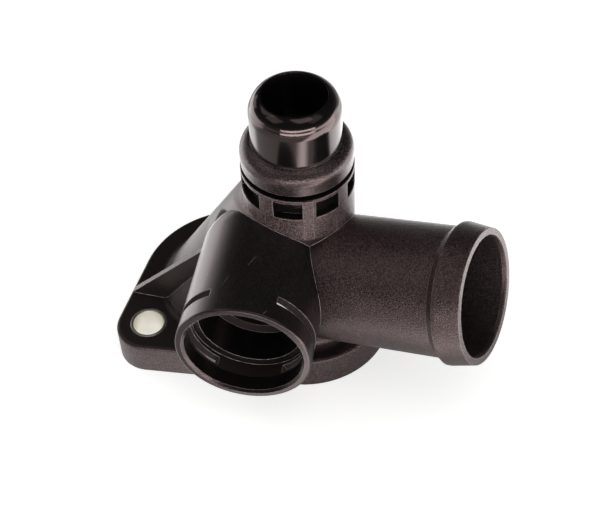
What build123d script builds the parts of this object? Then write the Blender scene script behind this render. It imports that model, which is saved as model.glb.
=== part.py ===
"""Coolant flange of a car engine: a black nylon moulding with steel sleeves and a seal.

Frame: millimetres, +Z up. The origin is the middle of the mounting face, halfway between
the two bolt holes, which lie on the X axis. The mounting face is the plane z = 0.
"""
import os
from math import acos, atan2, cos, degrees, hypot, radians, sin, tan

from build123d import *

# Mounting plate: two lugs and two large rounds, joined by straight tangents
HOLE_SPACING = 71.5
LUG_R = 8.8
PLATE_T = 10.0
PLATE_EDGE_R = 1.0
REAR_ROUND = (-7.8, 6.3)
REAR_ROUND_R = 27.4
FRONT_ROUND = (7.9, -6.2)
FRONT_ROUND_R = 23.8

# Steel compression sleeves for M8 bolts, moulded into the lugs
SLEEVE_OD = 10.0
SLEEVE_BORE = 8.4
SLEEVE_PROUD = 0.2
SLEEVE_EDGE = 0.25

# Oval coolant opening in the mounting face, and the seal in its groove
OPENING_REAR_R = 16.5
OPENING_FRONT_R = 14.5
SEAL_LAND = 2.6
GROOVE_W = 3.8
GROOVE_DEPTH = 2.8
SEAL_GAP = 0.2
SEAL_CHAMFER = 1.0

# Hollow body that narrows from the plate to the neck
BODY_WALL = 3.3
BODY_FOOT_WALL = 4.3
BODY_TOP_XY = (7.7, -1.6)
BODY_TOP_R = 13.5
BODY_TOP_Z = 48.4
BODY_FOOT_FILLET = 2.5

# Neck and upright spigot for a push-on hose coupling
NECK_XY = (8.8, -2.3)
NECK_R = 14.65
NECK_THROAT_Z = 53.5
SPIGOT_BORE_R = 8.3
SPIGOT_R = 11.65
SPIGOT_LAND_Z = 75.6
SHOULDER_R = 11.1
SHOULDER_Z = 77.7
SHOULDER_CROWN = 0.13
NOSE_R = 8.75
NOSE_CROWN = 0.4
SPIGOT_TOP_Z = 80.5
COLLAR_R = 14.5
COLLAR_TOP_Z = 66.6
COLLAR_RIM_Z = 62.2
COLLAR_LOW_Z = 60.0
CLIP_GROOVE_R = 12.6
RING_TOP_Z = 58.1

# Blind pockets round the neck, under a thin ring
POCKET_SPANS = [
    (-173, 44),
    (-120, 30),
    (-78, 27),
    (-37, 27),
    (5, 27),
    (47, 27),
    (89, 27),
    (131, 27),
]
POCKET_TOP_Z = 57.2
POCKET_LOW_Z = 51.7
POCKET_DEPTH = 2.4

# Low rib down the front of the neck, between two of the pockets
RIB_AZIMUTH = -99.5
RIB_W = 2.6
RIB_PROUD = 0.25
RIB_LOW_Z = 44.5

# Hose stub, rising as it leaves the body, with a barb at its end
STUB_START = (4.3, -6.9, 22.8)
STUB_AZIMUTH = -44.3
STUB_RISE = 14.4
STUB_LENGTH = 55.9
STUB_R = 17.05
STUB_MOUTH_R = 15.8
STUB_LEAD_IN = 1.2
STUB_BORE_R = 15.4
STUB_DRAFT = 1.0
BARB_R = 18.5
BARB_LENGTH = 6.8
BARB_RIM_R = 17.5
BARB_BACK = 1.9
BARB_LAND = 0.8

# Level port for a plug-in pipe, with two slots for the legs of a wire clip
PORT_START = (3.0, 2.7, 29.5)
PORT_AZIMUTH = -119.9
PORT_BACK_ROUND = 11.0
PORT_LENGTH = 43.3
PORT_R = 17.5
PORT_ENTRY_R = 15.2
PORT_ENTRY_DEPTH = 8.9
PORT_SEAL_R = 13.5
PORT_SEAL_LEAD = 0.4
PORT_SEAL_DEPTH = 18.4
PORT_THROAT_R = 12.0
PORT_THROAT_LEAD = 1.2
PORT_LEAD_IN = 0.7
PORT_RIM_ROUND = 0.7
SLOT_DEPTH = 5.5
SLOT_W = 2.3
SLOT_ARC = 117.0
SLOT_LIFT = 2.5

# Thin web from the plate's edge to the body
WEB_T = 1.8
WEB_EDGE_XY = (-36.4, 13.2)
WEB_TOP_XY = (-15.1, -1.7)
WEB_TOP_Z = 36.5

# How far a cutting solid runs past the face that it opens
CUT_PAST = 1.0

ON_BASE = (Align.CENTER, Align.CENTER, Align.MIN)


def point_at(centre, radius, angle):
    """The point of a circle at an angle in degrees."""
    return (centre[0] + radius * cos(radians(angle)), centre[1] + radius * sin(radians(angle)))


def wrapped(rounds):
    """A flat face that wraps rounds, given counter-clockwise, with straight tangents."""
    pairs = list(zip(rounds, rounds[1:] + rounds[:1]))
    normals = []
    for (start, start_r), (end, end_r) in pairs:
        run = (end[0] - start[0], end[1] - start[1])
        turn = degrees(acos((start_r - end_r) / hypot(*run)))
        normals.append(degrees(atan2(run[1], run[0])) - turn)
    edges = []
    for index, ((start, start_r), (end, end_r)) in enumerate(pairs):
        leave, arrive = normals[index], normals[index - 1]
        middle = arrive + ((leave - arrive) % 360) / 2
        arc = [point_at(start, start_r, angle) for angle in (arrive, middle, leave)]
        edges.append(ThreePointArc(*arc))
        edges.append(Line(arc[2], point_at(end, end_r, leave)))
    return make_face(edges)


def opening_face(margin=0.0):
    """The oval of the coolant opening, larger all round by a margin."""
    return wrapped([
        (FRONT_ROUND, OPENING_FRONT_R + margin),
        (REAR_ROUND, OPENING_REAR_R + margin),
    ])


def tilted(start, azimuth, rise=0.0):
    """The place whose Z axis leaves a point at an azimuth and a rise, with Y level."""
    return Pos(*start) * Rot(0, 0, azimuth) * Rot(0, 90 - rise, 0)


def turned(points):
    """A solid turned about Z from (radius, height) points, closed along the axis."""
    outline = [(0, points[0][1])] + points + [(0, points[-1][1])]
    return revolve(Rot(90, 0, 0) * make_face(Polyline(*outline, close=True)), Axis.Z)


def tube(outer_r, inner_r, height):
    """A straight tube that stands on z = 0."""
    return Cylinder(outer_r, height, align=ON_BASE) - Cylinder(inner_r, height, align=ON_BASE)


def ring_cutter(outer_r, inner_r, height, angle):
    """A piece of a ring, evenly to both sides of the X axis, that cuts past its outer radius."""
    ring = tube(outer_r + CUT_PAST, inner_r, height)
    reach = (outer_r + 2 * CUT_PAST) / cos(radians(angle / 2))
    corners = [(0, 0)] + [point_at((0, 0), reach, side * angle / 2) for side in (-1, 1)]
    return ring & extrude(make_face(Polyline(*corners, close=True)), height)


def rounded_over(outer, inner):
    """An arc from an outer point up to an inner one, as a quarter of an ellipse would bulge."""
    share = sin(radians(45))
    middle = (inner[0] + share * (outer[0] - inner[0]), outer[1] + share * (inner[1] - outer[1]))
    return ThreePointArc(outer, middle, inner)


def lug_centres():
    """Where the two bolt holes stand."""
    return [Pos(-HOLE_SPACING / 2, 0), Pos(HOLE_SPACING / 2, 0)]


def plate():
    """The mounting plate, with its upper edge rounded."""
    outline = wrapped([
        (FRONT_ROUND, FRONT_ROUND_R),
        ((HOLE_SPACING / 2, 0), LUG_R),
        (REAR_ROUND, REAR_ROUND_R),
        ((-HOLE_SPACING / 2, 0), LUG_R),
    ])
    slab = extrude(outline, PLATE_T)
    return fillet(slab.faces().sort_by(Axis.Z)[-1].edges(), PLATE_EDGE_R)


def body_shell():
    """The outside of the hollow body, from an oval foot to the round neck."""
    foot = Pos(0, 0, PLATE_T) * opening_face(BODY_FOOT_WALL)
    top = Pos(*BODY_TOP_XY, BODY_TOP_Z) * Circle(BODY_TOP_R)
    return loft([foot.face(), top.face()])


def foot_edges(solid):
    """The edges where the body stands on the plate."""
    foot = Pos(0, 0, PLATE_T) * opening_face(BODY_FOOT_WALL + PLATE_EDGE_R)
    on_plate = solid.edges().filter_by_position(Axis.Z, PLATE_T, PLATE_T)
    return on_plate.filter_by(lambda edge: foot.face().is_inside(edge @ 0.5))


def body_cavity():
    """The inside of the body, open through the plate."""
    foot = Pos(0, 0, PLATE_T) * opening_face()
    top = Pos(*NECK_XY, BODY_TOP_Z) * Circle(BODY_TOP_R - BODY_WALL)
    return extrude(opening_face(), PLATE_T) + loft([foot.face(), top.face()])


def neck_and_spigot():
    """The turned neck, ring, clip groove, domed collar and spigot with a crowned nose."""
    spigot_base = (SPIGOT_R, COLLAR_TOP_Z)
    nose_low = (SPIGOT_R, SPIGOT_LAND_Z)
    shoulder = (SHOULDER_R, SHOULDER_Z)
    nose_top = (NOSE_R, SPIGOT_TOP_Z)
    outline = [
        Polyline(
            (0, PLATE_T),
            (NECK_R, PLATE_T),
            (NECK_R, RING_TOP_Z),
            (CLIP_GROOVE_R, RING_TOP_Z),
            (CLIP_GROOVE_R, COLLAR_LOW_Z),
            (COLLAR_R, COLLAR_LOW_Z),
            (COLLAR_R, COLLAR_RIM_Z),
        ),
        rounded_over((COLLAR_R, COLLAR_RIM_Z), spigot_base),
        Line(spigot_base, nose_low),
        SagittaArc(nose_low, shoulder, -SHOULDER_CROWN),
        SagittaArc(shoulder, nose_top, -NOSE_CROWN),
        Polyline(nose_top, (0, SPIGOT_TOP_Z), (0, PLATE_T)),
    ]
    turned_neck = revolve(Rot(90, 0, 0) * make_face(outline), Axis.Z)
    return Pos(*NECK_XY) * (turned_neck + rib())


def rib():
    """The low rib on the neck, sunk into its wall, with the neck's axis at the origin."""
    height = RING_TOP_Z - RIB_LOW_Z
    bar = Box(POCKET_DEPTH + RIB_PROUD, RIB_W, height, align=(Align.MAX, Align.CENTER, Align.MIN))
    return Rot(0, 0, RIB_AZIMUTH) * Pos(NECK_R + RIB_PROUD, 0, RIB_LOW_Z) * bar


def neck_cavity():
    """The bore of the spigot, widening below the pockets into the body."""
    return Pos(*NECK_XY) * turned([
        (BODY_TOP_R - BODY_WALL, BODY_TOP_Z),
        (SPIGOT_BORE_R, NECK_THROAT_Z),
        (SPIGOT_BORE_R, SPIGOT_TOP_Z),
    ])


def pockets():
    """Blind pockets round the neck, each with its middle azimuth and its width in degrees."""
    height = POCKET_TOP_Z - POCKET_LOW_Z
    place = Pos(*NECK_XY, POCKET_LOW_Z)
    cutters = []
    for azimuth, width in POCKET_SPANS:
        cutter = ring_cutter(NECK_R, NECK_R - POCKET_DEPTH, height, width)
        cutters.append(place * Rot(0, 0, azimuth) * cutter)
    return cutters


def stub():
    """The hose stub with its barb."""
    step_at = STUB_LENGTH - BARB_LENGTH
    return tilted(STUB_START, STUB_AZIMUTH, STUB_RISE) * turned([
        (STUB_R, 0),
        (STUB_R, step_at - BARB_BACK),
        (BARB_R, step_at),
        (BARB_R, step_at + BARB_LAND),
        (BARB_RIM_R, STUB_LENGTH),
    ])


def stub_cavity():
    """The bore of the stub, drafted so that its core draws out, with the lead-in at its mouth."""
    lead_in_at = STUB_LENGTH - STUB_LEAD_IN
    narrow = STUB_BORE_R - lead_in_at * tan(radians(STUB_DRAFT))
    return tilted(STUB_START, STUB_AZIMUTH, STUB_RISE) * turned([
        (narrow, 0),
        (STUB_BORE_R, lead_in_at),
        (STUB_MOUTH_R, STUB_LENGTH),
    ])


def port():
    """The outside of the plug-in port, with a rounded back and rim."""
    barrel = Cylinder(PORT_R, PORT_LENGTH, align=ON_BASE)
    barrel = fillet(barrel.edges().group_by(Axis.Z)[-1], PORT_RIM_ROUND)
    barrel = fillet(barrel.edges().group_by(Axis.Z)[0], PORT_BACK_ROUND)
    return tilted(PORT_START, PORT_AZIMUTH) * barrel


def port_cavity():
    """The stepped bore of the port, with the lead-in at its mouth."""
    mouth = PORT_LENGTH
    return tilted(PORT_START, PORT_AZIMUTH) * turned([
        (PORT_THROAT_R, 0),
        (PORT_THROAT_R, mouth - PORT_SEAL_DEPTH - PORT_THROAT_LEAD),
        (PORT_SEAL_R, mouth - PORT_SEAL_DEPTH),
        (PORT_SEAL_R, mouth - PORT_ENTRY_DEPTH - PORT_SEAL_LEAD),
        (PORT_ENTRY_R, mouth - PORT_ENTRY_DEPTH),
        (PORT_ENTRY_R, mouth - PORT_LEAD_IN),
        (PORT_ENTRY_R + PORT_LEAD_IN, mouth),
    ])


def clip_slots():
    """The two slots through the wall of the port, left and right of its bore and a little up."""
    place = tilted(PORT_START, PORT_AZIMUTH) * Pos(0, 0, PORT_LENGTH - SLOT_DEPTH - SLOT_W)
    slot = ring_cutter(PORT_R, PORT_SEAL_R, SLOT_W, SLOT_ARC)
    return [place * Rot(0, 0, side * (90 + SLOT_LIFT)) * slot for side in (-1, 1)]


def web():
    """The thin upright web whose top edge climbs from the plate's edge to the body."""
    across = (WEB_TOP_XY[0] - WEB_EDGE_XY[0], WEB_TOP_XY[1] - WEB_EDGE_XY[1])
    run = hypot(*across)
    sunk = PLATE_T / 2
    corners = [(0, sunk), (0, PLATE_T), (run, WEB_TOP_Z), (run, sunk)]
    side = Rot(90, 0, 0) * make_face(Polyline(*corners, close=True))
    sheet = extrude(side, WEB_T / 2, both=True)
    return Pos(*WEB_EDGE_XY) * Rot(0, 0, degrees(atan2(across[1], across[0]))) * sheet


def housing():
    """The whole moulding in one piece."""
    solid = plate() + body_shell()
    solid = fillet(foot_edges(solid), BODY_FOOT_FILLET) + web()
    solid += neck_and_spigot()
    solid += port()
    solid += stub()
    solid -= [body_cavity(), neck_cavity(), port_cavity(), stub_cavity()]
    solid -= pockets() + clip_slots()
    solid -= [place * Cylinder(SLEEVE_OD / 2, PLATE_T, align=ON_BASE) for place in lug_centres()]
    groove = opening_face(SEAL_LAND + GROOVE_W) - opening_face(SEAL_LAND)
    return solid - extrude(groove, GROOVE_DEPTH)


def sleeve():
    """A compression sleeve, flush below and a little proud above, to take the clamp load."""
    body = tube(SLEEVE_OD / 2, SLEEVE_BORE / 2, PLATE_T + SLEEVE_PROUD)
    return chamfer(body.edges().group_by(Axis.Z)[-1], SLEEVE_EDGE)


def seal():
    """The moulded seal, at the height it has when the flange is bolted down."""
    ring = opening_face(SEAL_LAND + GROOVE_W - SEAL_GAP) - opening_face(SEAL_LAND + SEAL_GAP)
    solid = extrude(ring, GROOVE_DEPTH)
    return chamfer(solid.faces().sort_by(Axis.Z)[-1].edges(), SEAL_CHAMFER)


os.makedirs("parts", exist_ok=True)
left, right = lug_centres()
export_step(housing(), "parts/housing.step")
export_step(left * sleeve(), "parts/sleeve_left.step")
export_step(right * sleeve(), "parts/sleeve_right.step")
export_step(seal(), "parts/flange_seal.step")
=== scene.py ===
"""The coolant flange as photographed: finishes, small moulding marks, floor, light and camera.

Metres, +Z up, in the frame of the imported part: the origin is the middle of the mounting face
and the two bolt holes lie on the X axis.
"""
import math

import bpy
from mathutils import Matrix, Vector

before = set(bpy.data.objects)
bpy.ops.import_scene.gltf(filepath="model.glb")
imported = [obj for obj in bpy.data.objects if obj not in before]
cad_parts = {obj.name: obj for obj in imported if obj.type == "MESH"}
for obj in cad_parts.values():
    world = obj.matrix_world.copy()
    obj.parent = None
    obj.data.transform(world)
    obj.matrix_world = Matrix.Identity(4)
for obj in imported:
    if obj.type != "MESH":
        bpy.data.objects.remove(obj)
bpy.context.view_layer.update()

# Housing: one hollow injection moulding of black glass-filled nylon. The spigot comes out of
# a polished part of the mould and the port out of a smooth one. The neck and the collar are
# matt, and the stub and the plate show the grain of the fibres. Some grain colours below are
# set lighter, partly as painted highlight, and the hollows near black, as painted shade.
NYLON_DARK = (0.0045, 0.004, 0.004, 1)
NYLON_TINT = (1.0, 0.74, 0.72, 1)
NYLON_IOR = 1.62
GRAIN_PER_M = 3000
GRAIN_HEIGHT = 0.0001
SPECKLE_LIMIT = 0.52
SPECKLE_SOFT = 0.12
SPECKLE_LEAST = 0.3
CLOUD_PER_M = 70
CLOUD_MIDDLE = 0.5
ROUGHNESS_SPREAD = 0.12
# Edges: a lighter colour on the rounded edges, partly rubbed wear and partly a painted highlight
# where the edges catch the light.
EDGE_RADIUS = 0.00022
EDGE_SAMPLES = 8
EDGE_WEAR_AND_GLINT = (0.46, 0.38, 0.37, 1)
FACE_COSINE = 0.995
EDGE_COSINE = 0.90
WEAR_AND_GLINT_PER_M = 500
WEAR_AND_GLINT_LIMIT = 0.42
WEAR_AND_GLINT_SOFT = 0.2
SOFT_EDGE = 0.0004
SHARP_EDGE = 0.0001

# Where each finish lies on the moulding
ORIGIN = Vector((0, 0, 0))
UP = Vector((0, 0, 1))
ROOT_SOFT = 0.002
NECK_AXIS = Vector((0.0088, -0.0023, 0))
NECK_REACH = 0.0155
POCKET_WALL = 0.0143
POCKET_LOW_Z = 0.0515
NECK_LOW_Z = 0.044
COLLAR_LOW_Z = 0.0596
SPIGOT_BASE_Z = 0.0666
PLATE_TOP_Z = 0.0096
STUB_START = Vector((0.0043, -0.0069, 0.0228))
STUB_AXIS = Vector((0.6932, -0.6765, 0.2487))
STUB_ROOT = 0.016
STUB_INSIDE = 0.0156
STUB_RIM = 0.0555
PORT_START = Vector((0.003, 0.0027, 0.0295))
PORT_AXIS = Vector((-0.4985, -0.8669, 0))
PORT_ROOT = 0.002
PORT_REACH = 0.0178
PORT_INSIDE = 0.0163
PORT_THROAT = 0.0249
PORT_SLOTS = (0.0348, 0.0385)
SLOT_SKIN = 0.0173

# Each finish is the colour of its grain, a roughness and the strength of its grain
BODY_FINISH = ((0.018, 0.013, 0.0125, 1), 0.42, 0.5)
# The plate's sides and underside are lighter than its dark top, partly grain and partly a painted
# sheen for the light on the sides.
PLATE_FINISH_AND_SHEEN = ((0.09, 0.068, 0.066, 1), 0.46, 1.0)
# The stub's grain colour is partly its fibres and partly a painted sheen for the broad highlight
# along it.
STUB_FINISH_AND_SHEEN = ((0.095, 0.062, 0.06, 1), 0.38, 1.0)
# The stub's rim is lighter still, partly grain and partly a painted highlight for the bright ring
# of light on it.
RIM_FINISH_AND_SHEEN = ((0.17, 0.13, 0.125, 1), 0.40, 0.8)
PORT_FINISH = ((0.020, 0.018, 0.0175, 1), 0.29, 0.3)
# Painted shade: the insides of the port and the pockets get a grain colour near black, darker
# than the body's.
INSIDE_FINISH_AND_SHADE = ((0.006, 0.005, 0.005, 1), 0.24, 0.3)
# Painted shade: the throat and the slots get a grain colour near black, and a high roughness that
# dulls their reflections.
RECESS_FINISH_AND_SHADE = ((0.006, 0.005, 0.005, 1), 0.8, 0.3)
# Painted highlight: the stub's bore is lighter for the light that falls into it through the
# mouth.
STUB_BORE_FINISH_AND_SHEEN = ((0.055, 0.042, 0.04, 1), 0.34, 1.0)
# Painted highlight: the neck's light grain colour stands in for the broad grainy highlight on its
# front.
NECK_FINISH_AND_SHEEN = ((0.20, 0.145, 0.14, 1), 0.36, 1.0)
# The collar's grain colour is partly its grain and partly a painted sheen for the highlight low
# on its front.
COLLAR_FINISH_AND_SHEEN = ((0.07, 0.052, 0.05, 1), 0.28, 0.6)
SPIGOT_FINISH = ((0.006, 0.0052, 0.005, 1), 0.12, 0.05)

# Parting lines and scratches: where each starts, where it ends and half its width
MARK_LIGHTER = (0.14, 0.11, 0.107, 1)
MARKS = [
    ((0.00483, -0.01624, 0.0602), (0.00471, -0.01636, 0.0576), 0.00012),
    ((0.01437, -0.01585, 0.0497), (0.01429, -0.01589, 0.0438), 0.00014),
    ((-0.01154, -0.02160, 0.0470), (-0.00860, -0.01950, 0.0470), 0.00006),
    ((-0.01937, -0.02466, 0.0460), (-0.01700, -0.02280, 0.0464), 0.00006),
    ((-0.01289, -0.03698, 0.0459), (-0.01000, -0.03500, 0.0456), 0.00008),
    ((0.03436, -0.03480, 0.0509), (0.03914, -0.04216, 0.0536), 0.00008),
]


def new_material(name):
    """A material with its shader and its surface position on the piece."""
    material = bpy.data.materials.new(name)
    material.use_nodes = True
    tree = material.node_tree
    place = tree.nodes.new("ShaderNodeTexCoord").outputs["Object"]
    return material, tree, tree.nodes["Principled BSDF"], place


def feed(tree, socket, source):
    """Sets a socket to a value, or links it to another node's output."""
    if isinstance(source, bpy.types.NodeSocket):
        tree.links.new(source, socket)
    else:
        socket.default_value = source


def figure(tree, operation, *sources):
    """One step of arithmetic between values."""
    node = tree.nodes.new("ShaderNodeMath")
    node.operation = operation
    for socket, source in zip(node.inputs, sources):
        feed(tree, socket, source)
    return node.outputs["Value"]


def vector_step(tree, operation, *sources):
    """One step of arithmetic between vectors."""
    node = tree.nodes.new("ShaderNodeVectorMath")
    node.operation = operation
    for socket, source in zip(node.inputs, sources):
        feed(tree, socket, source)
    return node.outputs


def along(tree, place, start, direction):
    """How far a point of the surface lies from a start along a direction."""
    shift = vector_step(tree, "SUBTRACT", place, start)["Vector"]
    return vector_step(tree, "DOT_PRODUCT", shift, direction)["Value"]


def off_axis(tree, place, start, direction):
    """How far a point of the surface lies from a line."""
    shift = vector_step(tree, "SUBTRACT", place, start)["Vector"]
    across = vector_step(tree, "CROSS_PRODUCT", shift, direction)["Vector"]
    return vector_step(tree, "LENGTH", across)["Value"]


def beyond(tree, value, limit, soft=SOFT_EDGE):
    """0 below a limit and 1 above it, with a soft change."""
    ramp = tree.nodes.new("ShaderNodeMapRange")
    ramp.interpolation_type = "SMOOTHSTEP"
    feed(tree, ramp.inputs["Value"], value)
    ramp.inputs["From Min"].default_value = limit - soft
    ramp.inputs["From Max"].default_value = limit + soft
    return ramp.outputs["Result"]


def blend_values(tree, share, low, high):
    """A value between two others."""
    mix = tree.nodes.new("ShaderNodeMix")
    feed(tree, mix.inputs["Factor"], share)
    feed(tree, mix.inputs["A"], low)
    feed(tree, mix.inputs["B"], high)
    return mix.outputs["Result"]


def blend_colours(tree, share, low, high):
    """A colour between two others."""
    mix = tree.nodes.new("ShaderNodeMix")
    mix.data_type = "RGBA"
    feed(tree, mix.inputs["Factor"], share)
    colours = [socket for socket in mix.inputs if socket.type == "RGBA"]
    feed(tree, colours[0], low)
    feed(tree, colours[1], high)
    return [socket for socket in mix.outputs if socket.type == "RGBA"][0]


def noise(tree, place, per_m, detail=3.0, rough=0.5):
    """A soft random pattern with a number of blotches to the metre."""
    node = tree.nodes.new("ShaderNodeTexNoise")
    feed(tree, node.inputs["Vector"], place)
    node.inputs["Scale"].default_value = per_m
    node.inputs["Detail"].default_value = detail
    node.inputs["Roughness"].default_value = rough
    return node.outputs["Fac"]


def pebbles(tree, place, per_m):
    """The even pebbled grain of a spark-eroded mould, 0 in the middle of each pebble."""
    node = tree.nodes.new("ShaderNodeTexVoronoi")
    node.feature = "SMOOTH_F1"
    feed(tree, node.inputs["Vector"], place)
    node.inputs["Scale"].default_value = per_m
    return node.outputs["Distance"]


def rounded_normal(tree, radius):
    """The surface's direction with its sharp edges rounded off."""
    node = tree.nodes.new("ShaderNodeBevel")
    node.samples = EDGE_SAMPLES
    node.inputs["Radius"].default_value = radius
    return node.outputs["Normal"]


def edge_share(tree, rounded):
    """1 on the rounded edges and 0 on the faces between them."""
    geometry = tree.nodes.new("ShaderNodeNewGeometry")
    cosine = vector_step(tree, "DOT_PRODUCT", rounded, geometry.outputs["Normal"])["Value"]
    ramp = tree.nodes.new("ShaderNodeMapRange")
    feed(tree, ramp.inputs["Value"], cosine)
    ramp.inputs["From Min"].default_value = FACE_COSINE
    ramp.inputs["From Max"].default_value = EDGE_COSINE
    return ramp.outputs["Result"]


def bump(tree, height, distance, strength, normal):
    """Small height on top of a surface direction."""
    node = tree.nodes.new("ShaderNodeBump")
    feed(tree, node.inputs["Height"], height)
    node.inputs["Distance"].default_value = distance
    feed(tree, node.inputs["Strength"], strength)
    feed(tree, node.inputs["Normal"], normal)
    return node.outputs["Normal"]


def dress(piece, material):
    """Gives every face of a piece one material."""
    piece.data.materials.clear()
    piece.data.materials.append(material)


def opposite(tree, share):
    """1 where a share is 0, and 0 where it is 1."""
    return figure(tree, "SUBTRACT", 1.0, share)


def below(tree, value, limit, soft=SOFT_EDGE):
    """1 below a limit and 0 above it, with a soft change."""
    return opposite(tree, beyond(tree, value, limit, soft))


def all_of(tree, first, *others):
    """1 where all of some shares are 1."""
    for other in others:
        first = figure(tree, "MULTIPLY", first, other)
    return first


def either(tree, first, second):
    """1 where at least one of two shares is 1."""
    return figure(tree, "MAXIMUM", first, second)


def scored(tree, place, start, end, half_width):
    """1 on a thin line from one point of the surface to another, and 0 beside it."""
    run = Vector(end) - Vector(start)
    travelled = along(tree, place, start, run.normalized())
    return all_of(
        tree,
        below(tree, off_axis(tree, place, start, run.normalized()), half_width, half_width / 2),
        beyond(tree, travelled, 0.0, half_width),
        below(tree, travelled, run.length, half_width),
    )


nylon, tree, shader, place = new_material("black_nylon")
height = along(tree, place, ORIGIN, UP)
up_stub = along(tree, place, STUB_START, STUB_AXIS)
up_port = along(tree, place, PORT_START, PORT_AXIS)
from_neck = off_axis(tree, place, NECK_AXIS, UP)
from_stub = off_axis(tree, place, STUB_START, STUB_AXIS)
from_port = off_axis(tree, place, PORT_START, PORT_AXIS)

near_neck = below(tree, from_neck, NECK_REACH)
above_port = beyond(tree, from_port, PORT_REACH)
on_stub = all_of(
    tree,
    beyond(tree, up_stub, STUB_ROOT, ROOT_SOFT),
    beyond(tree, from_stub, STUB_INSIDE, SHARP_EDGE),
    above_port,
)
on_port = all_of(
    tree,
    beyond(tree, up_port, PORT_ROOT, ROOT_SOFT),
    below(tree, from_port, PORT_REACH),
)
in_port = all_of(tree, on_port, below(tree, from_port, PORT_INSIDE, SHARP_EDGE))
in_throat = all_of(tree, in_port, below(tree, up_port, PORT_THROAT, SHARP_EDGE))
in_slots = all_of(
    tree,
    on_port,
    beyond(tree, up_port, PORT_SLOTS[0], SHARP_EDGE),
    below(tree, up_port, PORT_SLOTS[1], SHARP_EDGE),
    below(tree, from_port, SLOT_SKIN, SHARP_EDGE),
)
in_stub = all_of(
    tree,
    beyond(tree, up_stub, 0.0),
    below(tree, from_stub, STUB_INSIDE, SHARP_EDGE),
    above_port,
)
in_pockets = all_of(
    tree,
    beyond(tree, height, POCKET_LOW_Z, SHARP_EDGE),
    below(tree, from_neck, POCKET_WALL, SHARP_EDGE),
)
regions = [
    (below(tree, height, PLATE_TOP_Z, SHARP_EDGE), PLATE_FINISH_AND_SHEEN),
    (on_stub, STUB_FINISH_AND_SHEEN),
    (on_port, PORT_FINISH),
    (in_port, INSIDE_FINISH_AND_SHADE),
    (in_throat, RECESS_FINISH_AND_SHADE),
    (in_slots, RECESS_FINISH_AND_SHADE),
    (in_stub, STUB_BORE_FINISH_AND_SHEEN),
    (beyond(tree, up_stub, STUB_RIM, SHARP_EDGE), RIM_FINISH_AND_SHEEN),
    (all_of(tree, beyond(tree, height, NECK_LOW_Z), near_neck, above_port), NECK_FINISH_AND_SHEEN),
    (in_pockets, INSIDE_FINISH_AND_SHADE),
    (all_of(tree, beyond(tree, height, COLLAR_LOW_Z), near_neck), COLLAR_FINISH_AND_SHEEN),
    (beyond(tree, height, SPIGOT_BASE_Z), SPIGOT_FINISH),
]
grain_colour, roughness, grainy = BODY_FINISH
for share, (finish_colour, finish_roughness, finish_grain) in regions:
    grain_colour = blend_colours(tree, share, grain_colour, finish_colour)
    roughness = blend_values(tree, share, roughness, finish_roughness)
    grainy = blend_values(tree, share, grainy, finish_grain)

grain = pebbles(tree, place, GRAIN_PER_M)
cloud = noise(tree, place, CLOUD_PER_M, detail=4.0, rough=0.6)
speckle = noise(tree, place, GRAIN_PER_M, detail=2.0, rough=0.6)
speckle = beyond(tree, speckle, SPECKLE_LIMIT, SPECKLE_SOFT)
speckle = figure(tree, "MULTIPLY", speckle, figure(tree, "ADD", cloud, SPECKLE_LEAST))
rounded = rounded_normal(tree, EDGE_RADIUS)
wear_and_glint = noise(tree, place, WEAR_AND_GLINT_PER_M, detail=3.0, rough=0.6)
# Painted highlight and wear on the rounded edges, broken up by a noise. There is none inside the
# pockets, which lie in shade.
edges = all_of(
    tree,
    edge_share(tree, rounded),
    beyond(tree, wear_and_glint, WEAR_AND_GLINT_LIMIT, WEAR_AND_GLINT_SOFT),
    opposite(tree, in_pockets),
)

lines = 0.0
for mark in MARKS:
    lines = either(tree, lines, scored(tree, place, *mark))
colour = blend_colours(tree, speckle, NYLON_DARK, grain_colour)
colour = blend_colours(tree, lines, colour, MARK_LIGHTER)
feed(tree, shader.inputs["Base Color"], blend_colours(tree, edges, colour, EDGE_WEAR_AND_GLINT))
uneven = figure(tree, "SUBTRACT", cloud, CLOUD_MIDDLE)
uneven = figure(tree, "MULTIPLY", uneven, ROUGHNESS_SPREAD)
feed(tree, shader.inputs["Roughness"], figure(tree, "ADD", roughness, uneven))
feed(tree, shader.inputs["Normal"], bump(tree, grain, GRAIN_HEIGHT, grainy, rounded))
shader.inputs["IOR"].default_value = NYLON_IOR
shader.inputs["Specular Tint"].default_value = NYLON_TINT
dress(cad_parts["housing"], nylon)

# Compression sleeves: two short steel tubes, zinc plated, moulded into the lugs so that the
# bolts clamp on steel and not on nylon.
STEEL_LIGHT = (0.80, 0.77, 0.69, 1)
STEEL_DULL = (0.66, 0.63, 0.56, 1)
STEEL_ROUGHNESS = 0.26
STEEL_SPREAD = 0.12
SLEEVE_EDGE_RADIUS = 0.0001
BLOTCH_PER_M = 420
TURNING_PER_M = 2600
TURNING_HEIGHT = 0.00001
TURNING_STRENGTH = 0.3

steel, tree, shader, place = new_material("zinc_plated_steel")
blotch = noise(tree, place, BLOTCH_PER_M, detail=3.0, rough=0.55)
turning = noise(tree, place, TURNING_PER_M, detail=2.0, rough=0.5)
rounded = rounded_normal(tree, SLEEVE_EDGE_RADIUS)
feed(tree, shader.inputs["Base Color"], blend_colours(tree, blotch, STEEL_LIGHT, STEEL_DULL))
shader.inputs["Metallic"].default_value = 1.0
uneven = figure(tree, "MULTIPLY", blotch, STEEL_SPREAD)
feed(tree, shader.inputs["Roughness"], figure(tree, "ADD", uneven, STEEL_ROUGHNESS))
turned = bump(tree, turning, TURNING_HEIGHT, TURNING_STRENGTH, rounded)
feed(tree, shader.inputs["Normal"], turned)
for name in ("sleeve_left", "sleeve_right"):
    dress(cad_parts[name], steel)

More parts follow.
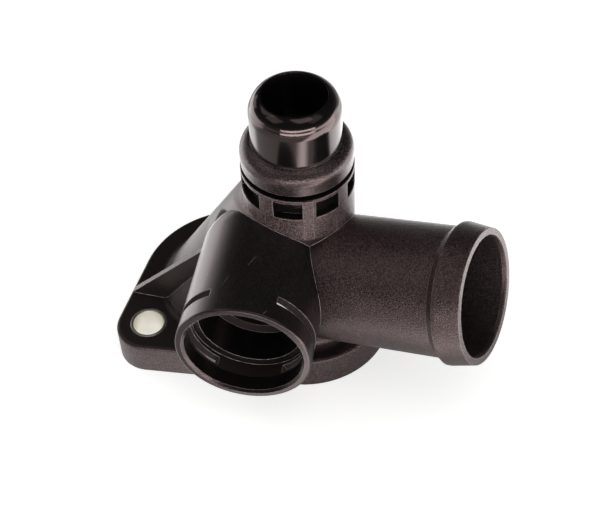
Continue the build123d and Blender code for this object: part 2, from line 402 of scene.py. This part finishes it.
# Flange seal: a moulded ring of black rubber, pressed into its groove round the coolant
# opening of the mounting face. Only the view from below shows it.
RUBBER_DARK = (0.012, 0.012, 0.012, 1)
RUBBER_GREY = (0.028, 0.028, 0.027, 1)
RUBBER_ROUGHNESS = 0.5
RUBBER_SPREAD = 0.2
SEAL_EDGE_RADIUS = 0.0002
BLOOM_PER_M = 260
BLOOM_HEIGHT = 0.00003
BLOOM_STRENGTH = 0.4

rubber, tree, shader, place = new_material("seal_rubber")
bloom = noise(tree, place, BLOOM_PER_M, detail=4.0, rough=0.6)
feed(tree, shader.inputs["Base Color"], blend_colours(tree, bloom, RUBBER_DARK, RUBBER_GREY))
uneven = figure(tree, "MULTIPLY", bloom, RUBBER_SPREAD)
feed(tree, shader.inputs["Roughness"], figure(tree, "ADD", RUBBER_ROUGHNESS, uneven))
smooth = rounded_normal(tree, SEAL_EDGE_RADIUS)
feed(tree, shader.inputs["Normal"], bump(tree, bloom, BLOOM_HEIGHT, BLOOM_STRENGTH, smooth))
dress(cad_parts["flange_seal"], rubber)

# Floor: a sheet of white board under the part, far wider than the view. It is white to the eye
# and keeps the part's soft shadow. In the part's gloss its glow is painted by place, not lit by
# the lamps: a painted pool of light, brightest in front, and painted shade under the part, under
# the barb, to the front left, behind except to the left, and half shade round the left lug.
FLOOR_SIZE = 6.0
FLOOR_WHITE = (0.86, 0.86, 0.85, 1)
FLOOR_ROUGHNESS = 0.9
FLOOR_OWN_LIGHT = 0.58
FLOOR_IN_GLOSS = 2.2
FRONT_IN_GLOSS = 4.2
SHADE_IN_GLOSS = 0.04
LUG_IN_GLOSS = 0.85
SHADE_CENTRE = Vector((0.03, -0.025, 0))
SHADE_RADIUS = 0.05
SHADE_SOFT = 0.012
BARB_SHADE_CENTRE = Vector((0.055, -0.07, 0))
BARB_SHADE_RADIUS = 0.045
BARB_SHADE_SOFT = 0.01
LUG_CENTRE = Vector((-0.036, 0, 0))
LUG_REACH = 0.02
LUG_SOFT = 0.01
BACKWARD = Vector((0, 1, 0))
BACK_LINE = 0.10
BACK_SOFT = 0.04
FRONT_LINE = -0.035
FRONT_SOFT = 0.02
FRONT_LEFT = Vector((-0.95, -0.31, 0))
FRONT_LEFT_LINE = 0.06
LEFTWARD = Vector((-1, 0, 0))
LEFT_LINE = 0.045
LEFT_SOFT = 0.02

bpy.ops.object.select_all(action="DESELECT")
bpy.ops.mesh.primitive_plane_add(size=FLOOR_SIZE, location=ORIGIN)
floor = bpy.context.object
floor.name = "floor"
board, tree, shader, place = new_material("white_board")
shader.inputs["Base Color"].default_value = FLOOR_WHITE
shader.inputs["Roughness"].default_value = FLOOR_ROUGHNESS
shader.inputs["Specular IOR Level"].default_value = 0.0

backward = along(tree, place, SHADE_CENTRE, BACKWARD)
leftward = along(tree, place, ORIGIN, LEFTWARD)
from_lug = off_axis(tree, place, LUG_CENTRE, UP)
from_barb = off_axis(tree, place, BARB_SHADE_CENTRE, UP)
to_front_left = along(tree, place, SHADE_CENTRE, FRONT_LEFT)
behind = beyond(tree, backward, BACK_LINE, BACK_SOFT)
in_front = below(tree, backward, FRONT_LINE, FRONT_SOFT)
# Painted light and shade in the floor's gloss: 1 where the floor glows brightly in the part's
# reflections, 0 in the painted shade.
painted_lit_share = all_of(
    tree,
    beyond(tree, off_axis(tree, place, SHADE_CENTRE, UP), SHADE_RADIUS, SHADE_SOFT),
    beyond(tree, from_barb, BARB_SHADE_RADIUS, BARB_SHADE_SOFT),
    either(tree, opposite(tree, behind), beyond(tree, leftward, LEFT_LINE, LEFT_SOFT)),
    either(tree, below(tree, to_front_left, FRONT_LEFT_LINE, SHADE_SOFT), behind),
)
painted_gloss_glow = blend_values(tree, in_front, FLOOR_IN_GLOSS, FRONT_IN_GLOSS)
painted_gloss_glow = blend_values(tree, painted_lit_share, SHADE_IN_GLOSS, painted_gloss_glow)
painted_gloss_glow = blend_values(tree, beyond(tree, from_lug, LUG_REACH, LUG_SOFT), LUG_IN_GLOSS, painted_gloss_glow)

rays = tree.nodes.new("ShaderNodeLightPath")
direct = either(tree, rays.outputs["Is Camera Ray"], rays.outputs["Is Transmission Ray"])
own_light = figure(tree, "MULTIPLY", direct, FLOOR_OWN_LIGHT)
own_light = blend_values(tree, rays.outputs["Is Glossy Ray"], own_light, painted_gloss_glow)
glow = tree.nodes.new("ShaderNodeEmission")
feed(tree, glow.inputs["Strength"], own_light)
both = tree.nodes.new("ShaderNodeAddShader")
tree.links.new(shader.outputs["BSDF"], both.inputs[0])
tree.links.new(glow.outputs["Emission"], both.inputs[1])
tree.links.new(both.outputs["Shader"], tree.nodes["Material Output"].inputs["Surface"])
dress(floor, board)

# World: plain white to the camera, a dim even fill on the part, and in a gloss a pale horizon
# that darkens towards the ceiling.
FILL_LIGHT = 0.4
HORIZON_GLOSS = 0.12
CEILING_GLOSS = 0.02
HORIZON_BAND = 0.22

world = bpy.data.worlds.new("studio")
bpy.context.scene.world = world
world.use_nodes = True
tree = world.node_tree
background = tree.nodes["Background"]
background.inputs["Color"].default_value = (1, 1, 1, 1)
rays = tree.nodes.new("ShaderNodeLightPath")
sky = tree.nodes.new("ShaderNodeTexCoord").outputs["Generated"]
upward = tree.nodes.new("ShaderNodeSeparateXYZ")
feed(tree, upward.inputs["Vector"], sky)
ceiling = beyond(tree, upward.outputs["Z"], HORIZON_BAND, HORIZON_BAND)
gloss = blend_values(tree, ceiling, HORIZON_GLOSS, CEILING_GLOSS)
strength = blend_values(tree, rays.outputs["Is Glossy Ray"], FILL_LIGHT, gloss)
direct = either(tree, rays.outputs["Is Camera Ray"], rays.outputs["Is Transmission Ray"])
strength = blend_values(tree, direct, strength, 1.0)
feed(tree, background.inputs["Strength"], strength)

# Lamps: a wide strip of soft light low in front, which draws the long highlights, and weaker
# soft boxes high up and behind. Each row is an azimuth and a height in degrees, a width, a
# height and a power.
LAMP_AIM = Vector((0, -0.01, 0.035))
LAMP_DISTANCE = 0.8
LAMPS = [
    ("front_strip", 257, 9, 1.3, 0.12, 4.6),
    ("top_box", 288, 72, 0.4, 0.4, 0.5),
    ("left_high_box", 180, 50, 0.4, 0.4, 0.3),
    ("back_left_low_box", 120, 8, 0.34, 0.34, 0.32),
    ("back_high_box", 135, 50, 0.4, 0.4, 0.3),
    ("right_high_box", 315, 50, 0.4, 0.4, 0.2),
]
for name, azimuth, rise, width, tall, power in LAMPS:
    lamp = bpy.data.lights.new(name, "AREA")
    lamp.shape = "RECTANGLE"
    lamp.size = width
    lamp.size_y = tall
    lamp.energy = power
    level = math.cos(math.radians(rise))
    outward = Vector((
        level * math.cos(math.radians(azimuth)),
        level * math.sin(math.radians(azimuth)),
        math.sin(math.radians(rise)),
    ))
    holder = bpy.data.objects.new(name, lamp)
    holder.location = LAMP_AIM + LAMP_DISTANCE * outward
    holder.rotation_euler = outward.to_track_quat("Z", "Y").to_euler()
    bpy.context.scene.collection.objects.link(holder)

# Camera: above and a little left of the front, where the photograph was taken from, with a
# long lens.
CAMERA_PLACE = Vector((-0.06495, -0.22909, 0.28917))
CAMERA_RIGHT = Vector((0.94001, -0.33979, -0.03044))
CAMERA_UP = Vector((0.27228, 0.69351, 0.66701))
CAMERA_LENS = 78.0
SENSOR_WIDTH = 36.0
NEAREST_SEEN = 0.01
FARTHEST_SEEN = 20.0

camera = bpy.data.objects.new("camera", bpy.data.cameras.new("camera"))
camera.data.sensor_width = SENSOR_WIDTH
camera.data.lens = CAMERA_LENS
camera.data.clip_start = NEAREST_SEEN
camera.data.clip_end = FARTHEST_SEEN
turn = Matrix((CAMERA_RIGHT, CAMERA_UP, CAMERA_RIGHT.cross(CAMERA_UP))).transposed()
camera.matrix_world = Matrix.Translation(CAMERA_PLACE) @ turn.to_4x4()
bpy.context.scene.collection.objects.link(camera)
bpy.context.scene.camera = camera
bpy.context.scene.view_settings.view_transform = "Standard"
